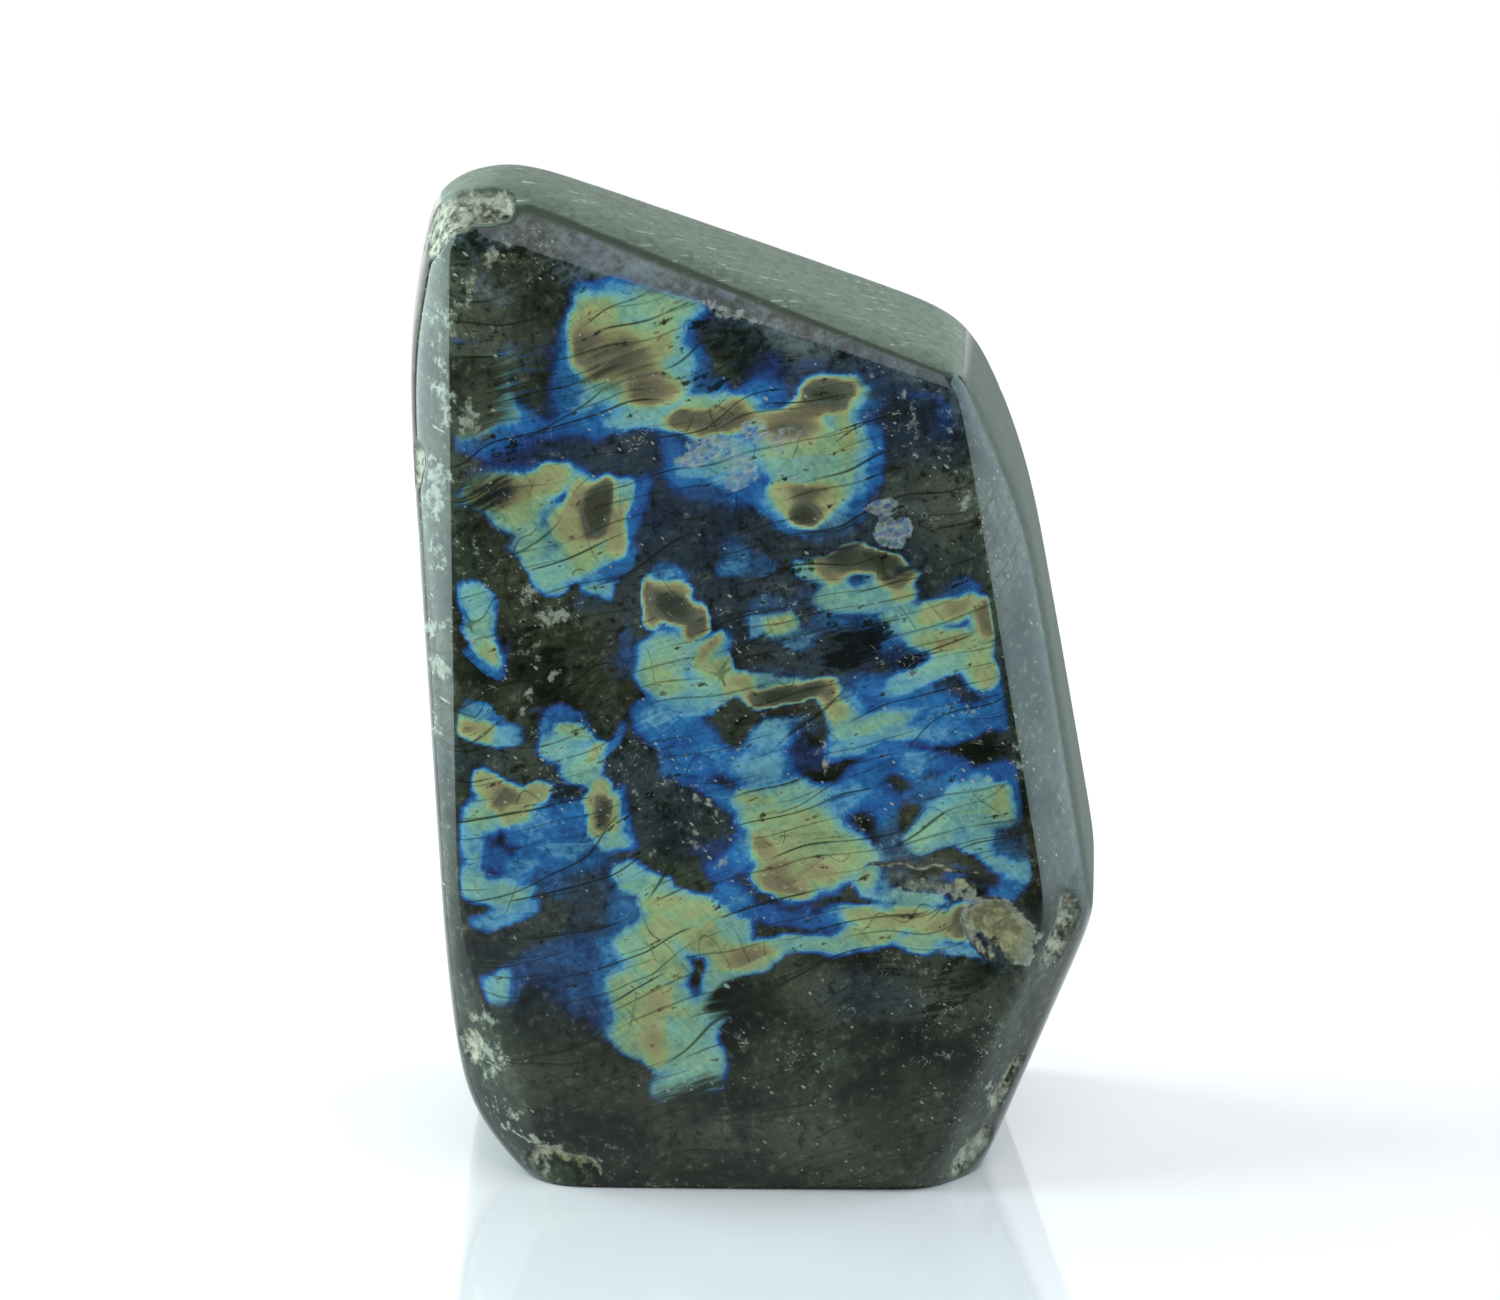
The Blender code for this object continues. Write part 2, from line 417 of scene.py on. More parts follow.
CENTRE = [
    (736, 563, 22, 18, 10, 0.47),
    (762, 568, 14, 14, 0, 0.40),
    (700, 560, 22, 24, 0, 0.14),
    (672, 578, 22, 8, 10, 0.46),
    (672, 608, 22, 14, -15, 1.16),
    (652, 606, 8, 18, 0, 0.93),
    (694, 620, 8, 16, -30, 0.97),
    (672, 590, 20, 6, 0, 0.86),
    (712, 646, 12, 18, -40, 0.86),
    (716, 664, 10, 12, 0, 0.78),
    (724, 640, 8, 24, -30, 0.42),
    (668, 652, 28, 18, 10, 0.66),
    (664, 678, 22, 16, 0, 0.72),
    (706, 685, 18, 18, 10, 0.62),
    (690, 700, 22, 12, 20, 0.57),
    (658, 714, 24, 14, 15, 0.50),
    (676, 730, 24, 12, 20, 0.44),
    (628, 650, 10, 30, 0, 0.36),
    (615, 668, 18, 24, 0, 0.28),
    (600, 690, 22, 24, 0, 0.10),
    (684, 762, 30, 24, 0, 0.38),
    (715, 745, 22, 20, 0, 0.44),
    (640, 765, 20, 30, 0, 0.06),
    (734, 634, 14, 14, 0, 0.12),
    (724, 604, 20, 12, 0, 0.08),
    (741, 724, 20, 12, 25, 0.04),
    (773, 730, 24, 16, 0, 0.56),
    (762, 766, 30, 20, 0, 0.54),
    (808, 747, 14, 18, 0, 0.18),
    (806, 728, 12, 8, 0, 0.40),
    (734, 684, 16, 10, 10, 0.82),
    (778, 692, 28, 8, 8, 1.13),
    (804, 688, 20, 9, 5, 1.14),
    (773, 678, 26, 4, -3, 0.56),
    (780, 670, 26, 5, -3, 0.36),
    (784, 656, 34, 8, 5, 0.24),
    (775, 625, 14, 10, -15, 0.76),
    (752, 628, 10, 12, 0, 0.50),
    (796, 640, 18, 10, 0, 0.50),
    (774, 606, 24, 8, 5, 0.44),
    (790, 586, 30, 10, 10, 0.12),
]
RIGHT = [
    (812, 574, 10, 14, 40, 0.66),
    (828, 570, 8, 16, 40, 0.93),
    (846, 560, 16, 12, 20, 1.16),
    (872, 566, 20, 10, 10, 1.13),
    (892, 580, 20, 8, 15, 0.95),
    (926, 580, 26, 12, 5, 0.14),
    (950, 588, 18, 8, 5, 0.32),
    (800, 592, 10, 12, 40, 0.42),
    (838, 598, 24, 12, 5, 0.65),
    (868, 598, 22, 12, 8, 0.62),
    (900, 592, 16, 8, 15, 0.80),
    (898, 612, 26, 10, 10, 0.58),
    (934, 612, 18, 10, 15, 0.76),
    (956, 606, 14, 14, 0, 0.86),
    (826, 624, 20, 10, 0, 0.46),
    (858, 622, 16, 10, 0, 0.36),
    (852, 650, 34, 16, 10, 0.16),
    (820, 658, 16, 12, 0, 0.30),
    (910, 657, 16, 8, 0, 0.28),
    (888, 638, 14, 12, 30, 0.46),
    (908, 628, 16, 10, 20, 0.62),
    (926, 638, 20, 10, 15, 0.74),
    (946, 644, 16, 10, 15, 0.84),
    (972, 655, 18, 22, 0, 0.75),
    (984, 672, 14, 10, 0, 0.78),
    (938, 666, 26, 10, 10, 0.64),
    (908, 678, 28, 8, 10, 0.55),
    (985, 620, 12, 20, 0, 0.95),
    (868, 680, 24, 8, 5, 0.40),
    (850, 697, 12, 8, 0, 0.50),
    (830, 694, 12, 14, 0, 0.93),
    (838, 708, 12, 10, 10, 0.84),
    (905, 694, 34, 10, 5, 0.42),
    (935, 706, 22, 14, 10, 0.43),
    (885, 712, 34, 10, 12, 0.64),
    (852, 722, 22, 10, 10, 0.65),
    (900, 728, 30, 8, 10, 0.54),
    (972, 710, 22, 12, 10, 0.41),
    (1002, 702, 18, 18, 0, 0.38),
    (950, 728, 22, 10, 10, 0.46),
    (846, 742, 22, 10, 10, 0.52),
    (886, 752, 24, 14, 20, 0.38),
    (866, 768, 20, 12, 20, 0.42),
    (912, 760, 20, 12, 0, 0.50),
    (980, 745, 30, 14, 5, 0.05),
    (946, 765, 20, 14, 0, 0.38),
    (1000, 765, 20, 10, 0, 0.36),
    (850, 790, 26, 12, 15, 0.50),
    (884, 796, 18, 14, 10, 0.38),
    (925, 782, 18, 12, 20, 0.42),
    (950, 795, 24, 14, 20, 0.57),
    (975, 785, 20, 14, 10, 0.60),
    (1002, 793, 18, 16, 0, 0.72),
    (945, 815, 28, 14, 20, 0.65),
    (980, 815, 22, 14, 10, 0.64),
    (930, 834, 24, 12, 15, 0.66),
    (976, 834, 22, 12, 10, 0.60),
    (1014, 834, 14, 14, 0, 0.40),
    (1000, 850, 18, 8, 0, 0.56),
    (888, 826, 12, 22, 0, 0.44),
    (1020, 786, 8, 50, 0, 0.36),
]
GOLD_PLATEAU = [
    (765, 798, 30, 12, 5, 0.72),
    (800, 792, 30, 10, 5, 0.66),
    (775, 816, 34, 14, 10, 0.77),
    (815, 822, 26, 20, 0, 0.78),
    (795, 846, 26, 16, 0, 0.79),
    (840, 848, 26, 22, 0, 0.77),
    (866, 860, 12, 18, 0, 0.70),
    (880, 868, 8, 24, 0, 0.46),
    (762, 846, 14, 12, -30, 0.85),
    (776, 862, 12, 10, 30, 0.84),
    (818, 872, 26, 12, 0, 0.84),
    (782, 880, 22, 8, -20, 0.86),
    (742, 850, 10, 16, 0, 0.42),
    (726, 862, 12, 12, 0, 0.34),
    (716, 838, 22, 14, 0, 0.16),
    (715, 792, 16, 8, -30, 0.42),
    (690, 815, 22, 22, -35, 0.02),
    (656, 815, 22, 24, 0, 0.00),
    (668, 848, 22, 14, 0, 0.08),
]
LEFT = [
    (479, 604, 18, 16, 0, 0.58),
    (486, 634, 16, 14, 0, 0.65),
    (492, 656, 12, 10, -20, 0.74),
    (484, 666, 14, 6, -30, 0.42),
    (506, 640, 8, 26, 0, 0.24),
    (530, 680, 30, 40, 0, 0.02),
    (488, 718, 20, 7, -10, 0.46),
    (486, 734, 22, 10, -20, 0.85),
    (512, 738, 12, 8, 30, 0.52),
    (530, 718, 16, 20, 0, 0.20),
    (568, 714, 24, 8, 0, 0.34),
    (568, 728, 18, 9, 0, 0.68),
    (549, 730, 8, 16, 0, 0.46),
    (560, 750, 20, 12, 10, 0.58),
    (585, 768, 18, 16, 0, 0.62),
    (597, 752, 10, 14, 0, 0.76),
    (606, 748, 6, 22, -30, 0.40),
    (518, 768, 22, 16, 5, 0.00),
    (505, 795, 18, 14, -20, 0.93),
    (488, 786, 12, 12, 0, 0.84),
    (540, 798, 16, 10, 20, 0.80),
    (484, 818, 16, 14, 0, 0.65),
    (518, 812, 10, 10, 0, 0.82),
    (572, 792, 16, 8, 20, 0.16),
    (574, 812, 14, 14, 0, 0.43),
    (538, 828, 22, 16, 10, 0.48),
    (560, 842, 26, 10, 10, 0.46),
    (605, 812, 9, 18, 0, 1.14),
    (592, 812, 6, 20, 0, 0.84),
    (618, 818, 6, 22, -10, 0.78),
    (603, 786, 10, 8, 0, 0.80),
    (629, 816, 6, 26, 0, 0.42),
    (614, 840, 16, 8, 0, 0.60),
    (496, 855, 14, 12, 0, 0.34),
    (474, 850, 10, 20, 0, 0.55),
    (525, 864, 18, 8, 0, 0.46),
    (474, 884, 14, 12, 0, 0.60),
    (510, 888, 22, 12, 10, 0.60),
    (505, 912, 30, 10, 15, 0.52),
    (576, 862, 34, 12, 10, 0.40),
    (560, 882, 20, 14, 0, 0.40),
    (590, 900, 26, 20, 30, 0.37),
    (570, 935, 40, 30, 45, 0.36),
    (540, 960, 34, 20, 40, 0.34),
    (530, 930, 34, 12, 20, 0.14),
    (575, 985, 30, 26, 40, 0.35),
    (498, 988, 18, 18, 30, 0.62),
    (516, 990, 8, 24, -30, 0.40),
    (480, 950, 24, 18, 0, 0.04),
    (520, 1020, 30, 20, 0, 0.06),
]
LOW = [
    (905, 398, 34, 8, -16, 0.32),
    (934, 424, 10, 18, 0, 0.34),
    (628, 872, 16, 9, 10, 0.62),
    (648, 884, 22, 9, 15, 0.68),
    (622, 912, 14, 16, 0, 0.40),
    (668, 898, 22, 12, 10, 0.74),
    (700, 908, 24, 14, -10, 0.78),
    (664, 925, 24, 16, 20, 0.76),
    (706, 936, 24, 14, 0, 0.77),
    (636, 946, 16, 18, 40, 0.66),
    (660, 962, 24, 20, 40, 0.78),
    (628, 990, 18, 26, 35, 0.74),
    (656, 1005, 22, 20, 35, 0.82),
    (655, 1035, 20, 22, 30, 0.86),
    (630, 1034, 14, 22, 20, 0.74),
    (690, 1010, 18, 26, 30, 0.70),
    (690, 1050, 22, 22, 30, 0.68),
    (676, 1080, 24, 16, 10, 0.64),
    (704, 1060, 18, 20, 0, 0.64),
    (606, 1000, 8, 40, 15, 0.42),
    (594, 1010, 8, 40, 15, 0.28),
    (612, 950, 8, 24, 20, 0.42),
    (735, 892, 14, 10, -20, 0.42),
    (765, 908, 26, 9, -5, 0.34),
    (805, 912, 26, 9, -5, 0.32),
    (836, 908, 14, 8, 0, 0.44),
    (734, 925, 14, 10, 0, 0.60),
    (746, 952, 26, 12, 0, 0.86),
    (722, 972, 18, 14, 0, 0.68),
    (715, 1000, 20, 16, 20, 0.62),
    (790, 944, 26, 10, 8, 0.62),
    (830, 938, 26, 9, 12, 0.64),
    (868, 926, 26, 10, 8, 0.74),
    (860, 905, 26, 8, 0, 0.80),
    (900, 906, 24, 10, 0, 0.82),
    (934, 916, 20, 12, 0, 0.80),
    (960, 916, 14, 12, 0, 0.97),
    (985, 910, 18, 12, -10, 0.78),
    (920, 936, 22, 8, -10, 0.66),
    (960, 944, 24, 8, -15, 0.50),
    (905, 888, 30, 5, -8, 0.62),
    (902, 852, 14, 10, 0, 0.42),
    (918, 868, 24, 7, 5, 0.08),
    (950, 868, 16, 8, -5, 0.38),
    (976, 870, 14, 7, 0, 0.14),
    (1000, 876, 16, 9, 0, 0.40),
    (1014, 862, 10, 10, 0, 0.56),
    (780, 985, 50, 22, 0, 0.03),
    (880, 985, 60, 30, 0, 0.00),
    (970, 985, 50, 30, 0, 0.00),
    (590, 1070, 50, 26, 0, 0.02),
    (800, 1080, 70, 50, 0, 0.00),
]
# The flash that these spots lay out is a painted reflection: its colours go into the base colour and look
# the same from every side.
FLASH_SPOTS = UPPER_LEFT + UPPER_MIDDLE + LEFT_OVAL + CENTRE + RIGHT + GOLD_PLATEAU + LEFT + LOW

# A spot of this area, half width times half height, has a strength of 1. It falls off to the power of the
# squared distance, and the plain body counts everywhere with this small weight.
USUAL_SPOT = 500.0
SPOT_FALL = 0.085
BODY_WEIGHT = 0.022

# A mark is full out to the first squared distance, and gone from the second.
MARK_FLAT = 0.15
MARK_BORDER = 1.2

# The borders of all marks wander slowly and quickly: the sizes of the wanderings, and how far they go.
SLOW_WANDER = 6.0
SLOW_SWAY = 3.6
QUICK_WANDER = 2.0
QUICK_SWAY = 1.0

# Pale granular feldspar in healed cracks and on the rims, black grains, places where the flash fades into
# the body, places where the body is bluish or a paler olive, and flakes with a painted sheen of their own.
# Each is laid as the flash is, with its strength last.
PALE_GRAINS = [
    (505, 266, 40, 11, 4, 0.6),
    (472, 300, 12, 28, -15, 0.6),
    (450, 330, 16, 40, 0, 0.5),
    (446, 400, 18, 60, 0, 0.6),
    (440, 500, 16, 40, 0, 0.8),
    (470, 430, 16, 24, 0, 0.7),
    (440, 560, 14, 30, 0, 0.6),
    (442, 640, 16, 14, 0, 0.8),
    (442, 680, 16, 20, 0, 0.9),
    (440, 735, 14, 12, 0, 0.7),
    (478, 560, 20, 12, 0, 0.4),
    (475, 640, 10, 40, 0, 0.4),
    (553, 620, 20, 14, -20, 0.9),
    (530, 600, 16, 20, -30, 0.6),
    (535, 655, 10, 26, 0, 0.5),
    (528, 705, 5, 26, -25, 0.8),
    (556, 672, 8, 10, 0, 0.8),
    (623, 750, 5, 26, 25, 0.7),
    (690, 830, 36, 12, -30, 0.5),
    (700, 800, 40, 5, -32, 0.7),
    (660, 845, 26, 16, 0, 0.35),
    (725, 858, 16, 8, 30, 0.6),
    (824, 752, 5, 26, 5, 0.7),
    (780, 880, 26, 5, -25, 0.5),
    (905, 884, 40, 5, -6, 0.8),
    (960, 886, 40, 6, -12, 0.9),
    (1008, 908, 38, 20, -30, 1.4),
    (984, 914, 30, 16, -30, 1.1),
    (970, 896, 34, 7, -20, 1.0),
    (1014, 936, 26, 18, -50, 1.4),
    (985, 770, 30, 26, 0, 0.4),
    (1010, 750, 12, 22, 0, 0.5),
    (965, 700, 12, 7, 0, 0.7),
    (740, 330, 40, 7, -8, 0.7),
    (800, 318, 60, 6, -14, 0.6),
    (880, 385, 60, 3, -14, 0.5),
    (940, 440, 8, 50, 15, 0.5),
    (960, 500, 12, 30, 0, 0.5),
    (482, 1015, 14, 16, 0, 0.7),
    (485, 1060, 16, 30, 0, 0.7),
    (500, 1110, 30, 18, -30, 0.6),
    (530, 1140, 50, 10, -15, 0.7),
    (560, 1158, 40, 8, -8, 0.6),
    (620, 1150, 30, 10, 0, 0.35),
    (760, 1150, 60, 14, 0, 0.25),
    (700, 965, 20, 8, 20, 0.5),
    (820, 975, 30, 14, -30, 0.3),
    (850, 1000, 20, 30, 0, 0.3),
    (995, 1100, 10, 30, 25, 0.7),
    (970, 1150, 20, 12, 20, 0.7),
    (1075, 900, 10, 26, 0, 0.5),
    (458, 205, 50, 24, 20, 1.4),
    (640, 790, 30, 6, -60, 0.4),
    (672, 776, 5, 26, 40, 0.6),
    (720, 322, 34, 5, -10, 0.8),
    (905, 420, 6, 34, 20, 0.6),
    (520, 930, 20, 8, 20, 0.4),
]
BLACK_GRAINS = [
    (852, 650, 46, 22, 10, 0.9),
    (872, 636, 22, 18, 0, 0.8),
    (912, 657, 18, 8, 5, 0.9),
    (832, 630, 10, 20, 0, 0.7),
    (740, 722, 22, 8, 30, 0.9),
    (556, 665, 20, 16, 0, 0.9),
    (535, 640, 10, 20, 0, 0.6),
    (520, 768, 10, 5, -10, 1.0),
    (980, 746, 22, 10, 0, 0.9),
    (1010, 742, 20, 5, -20, 0.6),
    (920, 867, 22, 7, 10, 1.0),
    (976, 870, 12, 6, 0, 0.8),
    (700, 385, 40, 12, -5, 0.55),
    (700, 345, 50, 14, 0, 0.3),
    (780, 372, 30, 8, 0, 0.35),
    (805, 570, 22, 12, 20, 0.7),
    (510, 462, 12, 20, -30, 0.6),
    (660, 800, 40, 8, -50, 0.6),
    (950, 965, 24, 8, 45, 0.7),
    (930, 1000, 30, 10, 40, 0.9),
    (965, 980, 14, 30, -30, 0.6),
    (740, 985, 26, 12, 0, 0.7),
    (880, 960, 30, 10, 0, 0.6),
    (470, 300, 6, 20, 0, 0.3),
]
DIM_PLACES = [
    (748, 1030, 34, 74, 0, 1.0),
    (704, 1112, 80, 46, 0, 1.0),
    (716, 1088, 46, 30, 0, 0.75),
    (742, 990, 40, 26, 20, 0.9),
    (800, 980, 70, 30, 5, 1.0),
    (885, 972, 80, 30, -2, 1.0),
    (980, 974, 60, 26, 0, 1.0),
    (470, 396, 62, 70, 0, 1.0),
    (622, 374, 56, 38, 10, 0.42),
    (720, 420, 40, 14, 0, 0.3),
    (530, 384, 24, 50, 10, 0.85),
    (480, 345, 46, 24, 0, 0.9),
    (880, 384, 30, 24, 0, 0.7),
    (652, 300, 34, 10, 0, 0.5),
    (600, 905, 14, 12, 0, 0.3),
    (470, 545, 24, 16, 0, 0.8),
    (486, 498, 46, 34, 0, 0.7),
    (1016, 640, 14, 40, 0, 0.8),
    (1030, 730, 12, 60, 0, 0.6),
    (500, 1010, 30, 16, 0, 0.8),
    (672, 608, 16, 10, -15, 0.35),
    (835, 552, 40, 12, 10, 0.6),
    (905, 566, 30, 8, 10, 0.7),
]
SLATE_PLACES = [
    (760, 560, 210, 120, 0, 0.9),
    (620, 480, 150, 50, 5, 1.0),
    (900, 400, 100, 90, 0, 0.9),
    (560, 940, 110, 110, 0, 0.5),
    (650, 790, 90, 70, 0, 0.6),
    (870, 990, 60, 34, 0, 0.6),
    (470, 760, 60, 30, 0, 0.4),
    (880, 660, 140, 60, 0, 0.9),
]
OLIVE_PLACES = [
    (500, 330, 80, 60, 0, 0.9),
    (480, 430, 56, 70, 0, 0.8),
    (622, 374, 60, 42, 10, 0.8),
    (930, 500, 60, 50, 0, 0.6),
    (640, 462, 60, 16, 5, 0.5),
    (520, 770, 40, 30, 0, 0.5),
    (880, 990, 110, 36, 0, 0.5),
    (760, 1130, 120, 30, 0, 0.4),
    (1000, 560, 30, 60, 0, 0.5),
]
FLAKES = [
    (712, 452, 32, 14, -10, 1.0),
    (736, 478, 22, 18, 0, 1.0),
    (780, 448, 34, 14, 5, 0.5),
    (800, 470, 40, 18, 10, 0.4),
    (752, 440, 20, 12, 0, 1.0),
    (690, 462, 20, 10, 0, 0.9),
    (880, 508, 22, 12, 0, 1.0),
    (884, 532, 18, 18, 0, 1.0),
    (904, 528, 14, 12, 0, 0.8),
]


def spots_around(seen, rows):
    """For each row of spots, how far out of it each point is, squared, and the row's value and strength."""
    for across_px, down_px, half_width, half_height, turn, value in rows:
        right = seen[:, 0] - VIEW_MIDDLE_AT[0] - (across_px - VIEW_MIDDLE[0]) * PIXEL_ACROSS
        up = seen[:, 2] - VIEW_MIDDLE_AT[1] + (down_px - VIEW_MIDDLE[1]) * PIXEL_UP
        cosine, sine = math.cos(math.radians(turn)), math.sin(math.radians(turn))
        wide = (right * cosine + up * sine) / (half_width * PIXEL_ACROSS)
        high = (up * cosine - right * sine) / (half_height * PIXEL_UP)
        yield wide**2 + high**2, value, USUAL_SPOT / (half_width * half_height)


def flash_orders(seen):
    """The colour order at each point: a mean of the spots around it, in which the near ones count most."""
    weights = numpy.full(len(seen), BODY_WEIGHT)
    orders = numpy.zeros(len(seen))
    for out, value, strength in spots_around(seen, FLASH_SPOTS):
        weight = strength * SPOT_FALL**out
        weights += weight
        orders += weight * value
    return orders / weights


def mark_shares(seen, rows):
    """How strongly any of these marks shows at each point."""
    share = numpy.zeros(len(seen))
    for out, value, _ in spots_around(seen, rows):
        inside = numpy.clip((MARK_BORDER - out) / (MARK_BORDER - MARK_FLAT), 0.0, 1.0)
        share = numpy.maximum(share, value * inside * inside * (3.0 - 2.0 * inside))
    return share


def lay_marks(mesh):
    """Stores the flash and the marks at each point of the skin, in place of where it is seen."""
    seen = numpy.empty(3 * len(mesh.vertices), dtype=numpy.float32)
    mesh.attributes["seen"].data.foreach_get("vector", seen)
    seen = seen.reshape(-1, 3).astype(numpy.float64)
    mesh.attributes.remove(mesh.attributes["seen"])
    for name, shares in (
        ("flash", flash_orders(seen)),
        ("pale", mark_shares(seen, PALE_GRAINS)),
        ("ink", mark_shares(seen, BLACK_GRAINS)),
        ("dim", mark_shares(seen, DIM_PLACES)),
        ("slate", mark_shares(seen, SLATE_PLACES)),
        ("olive", mark_shares(seen, OLIVE_PLACES)),
        ("flake", mark_shares(seen, FLAKES)),
    ):
        mark = mesh.attributes.new(name, "FLOAT", "POINT")
        mark.data.foreach_set("value", shares.astype(numpy.float32))


# The colours that the layers give, painted into the base colour as a reflection that looks the same from
# every side, in their order, from the unlit body through indigo, blue, green and gold to the brown and the
# olive past gold. The front may show all orders, and the back only those up to the rear one. The glow is
# how much brighter than its colour the surface is on average.
FLASH_COLOURS = (
    (0.00, (0.022, 0.027, 0.030)),
    (0.10, (0.020, 0.029, 0.054)),
    (0.22, (0.018, 0.040, 0.140)),
    (0.34, (0.020, 0.086, 0.255)),
    (0.43, (0.024, 0.140, 0.330)),
    (0.49, (0.095, 0.270, 0.405)),
    (0.56, (0.145, 0.330, 0.335)),
    (0.64, (0.190, 0.355, 0.255)),
    (0.72, (0.255, 0.350, 0.165)),
    (0.79, (0.300, 0.305, 0.140)),
    (0.85, (0.225, 0.195, 0.100)),
    (0.91, (0.138, 0.120, 0.072)),
    (0.97, (0.090, 0.090, 0.062)),
    (1.03, (0.082, 0.092, 0.066)),
    (1.10, (0.052, 0.052, 0.032)),
    (1.20, (0.028, 0.029, 0.016)),
)
LAST_ORDER = 1.25
REAR_ORDER = 0.85
USUAL_GLOW = 1.16
FLAKE_COLOURS = (
    (0.0, (0.06, 0.13, 0.36)),
    (0.3, (0.16, 0.28, 0.36)),
    (0.5, (0.26, 0.36, 0.24)),
    (0.7, (0.26, 0.25, 0.30)),
    (1.0, (0.12, 0.20, 0.40)),
)

# The way across the cleavage slabs, a way along them, and ways to the right and up, which also go into
# the stone.
ACROSS_SLABS = Vector((-0.27, -0.55, 0.79)).normalized()
ALONG_SLABS = Vector((0.83, 0.58, 0.68))
TO_THE_RIGHT = Vector((1.0, 0.35, 0.0))
UPWARDS = Vector((0.0, 0.35, 1.0))

# Where the front, the back, the top bevel and the ground right side face.
FRONT_NORMAL = facing(-3, 4)
BACK_NORMAL = facing(178, 11.5)
BEVEL_NORMAL = facing(7, 34)
SIDE_NORMAL = facing(86, 14)

# The sizes of the patterns in the feldspar, in millimetres. The slabs and the brushing lie along the
# cleavage, the streaks across it. The lines of steps and hairs are as wide as these shares of a noise.
GRAIN_SIZE = 1.1
SLAB_LENGTH = 8.0
SLAB_WIDTH = 1.9
SLAB_BEND = 3.6
BRUSH_LENGTH = 5.0
BRUSH_WIDTH = 0.5
STREAK_LENGTH = 4.0
STREAK_WIDTH = 0.45
SCALE_WIDTH = 0.85
SCALE_HEIGHT = 0.6
HAIR_WIDTH = 2.0
HAIR_HEIGHT = 1.5
HAIR_LINE = 0.016
SPECK_SPACING = 1.15

# Each set of cleavage lines: its spacing in millimetres, how much it leans against the slabs, a shift
# that makes its gaps its own, and its strength. Then how the lines sway and group, and their widths.
CLEAVAGE_SETS = ((3.4, 0.02, 0.0, 1.0), (5.9, -0.14, 30.0, 0.9), (1.5, 0.05, 60.0, 0.6))
SWAY_LENGTH = 24.0
SWAY_WIDTH = 9.0
LINE_LENGTH = 13.0
LINE_GROUP = 0.8
THIN_LINE = 0.05
THICK_LINE = 0.13
STEP_WIDTH = 5.0
STEP_HEIGHT = 11.0
STEP_LINE = 0.011
STEP_STRENGTH = 0.7

# The body: dark and pale clouds, brown slabs, olive places, slate places, grains, and the painted
# bluish-white sheen of the top bevel, which thins between these places to the right of the middle, in
# millimetres.
CLOUD_DARK = (0.004, 0.007, 0.003)
CLOUD_PALE = (0.032, 0.041, 0.025)
SLAB_BROWN = (0.050, 0.048, 0.028)
OLIVE = (0.074, 0.080, 0.056)
SLATE_DARK = (0.010, 0.019, 0.036)
SLATE_PALE = (0.033, 0.049, 0.072)
GRAIN_PALE = (0.110, 0.120, 0.085)
GRAIN_DARK = (0.005, 0.007, 0.004)
BEVEL_SHEEN_BLUE = (0.042, 0.066, 0.115)
BEVEL_SHEEN_WHITE = (0.110, 0.145, 0.150)
BEVEL_SHEEN_THINS = (-8.0, 22.0)

# What lies in it: cracks, black grains, pale clots, healed hairlines, specks, and the rims of flakes.
CRACK_DARK = (0.012, 0.016, 0.008)
INK = (0.004, 0.006, 0.004)
CLOT_DARK = (0.16, 0.18, 0.12)
CLOT_PALE = (0.46, 0.50, 0.41)
HAIR_PALE = (0.40, 0.43, 0.36)
SPECK_PALE = (0.42, 0.46, 0.38)
FLAKE_RIM = (0.42, 0.47, 0.43)

# Painted shade on rounded edges, fresh chips and their tint on the front, and the satin of the faces that
# are only ground, with its pits, its scratches (their directions and sizes in millimetres), the painted
# shade that darkens the right side, and the dark seam of painted shade, which lies where the rounded edge
# faces up by this much.
EDGE_PAINTED_SHADE = (0.018, 0.026, 0.020)
FRESH_DARK = (0.17, 0.17, 0.12)
FRESH_PALE = (0.43, 0.43, 0.33)
FRESH_TINT = (0.95, 0.92, 0.58)
SATIN_DARK = (0.160, 0.192, 0.148)
SATIN_PALE = (0.180, 0.216, 0.168)
PIT_DARK = (0.070, 0.082, 0.056)
SCRATCH_PALE = (0.5, 0.55, 0.46)
ALONG_SCRATCHES = (0.9, 0.3, -0.3)
ACROSS_SCRATCHES = (-0.3, 0.9, 0.4)
SCRATCH_LENGTH = 7.0
SCRATCH_WIDTH = 0.45
SIDE_PAINTED_SHADE = (0.036, 0.044, 0.032)
SEAM_PAINTED_SHADE = (0.030, 0.036, 0.024)
SEAM_FACING = 0.68

# The two finishes, and the fine grain that the matte one and the chips are rough with.
STONE_IOR = 1.56
POLISHED_ROUGHNESS = 0.08
POLISHED_SPECULAR = 0.3
MATTE_ROUGHNESS = 0.62
MATTE_SPECULAR = 0.2
ROUGH_GRAIN = 0.45
ROUGH_DEPTH = 0.12 * MM


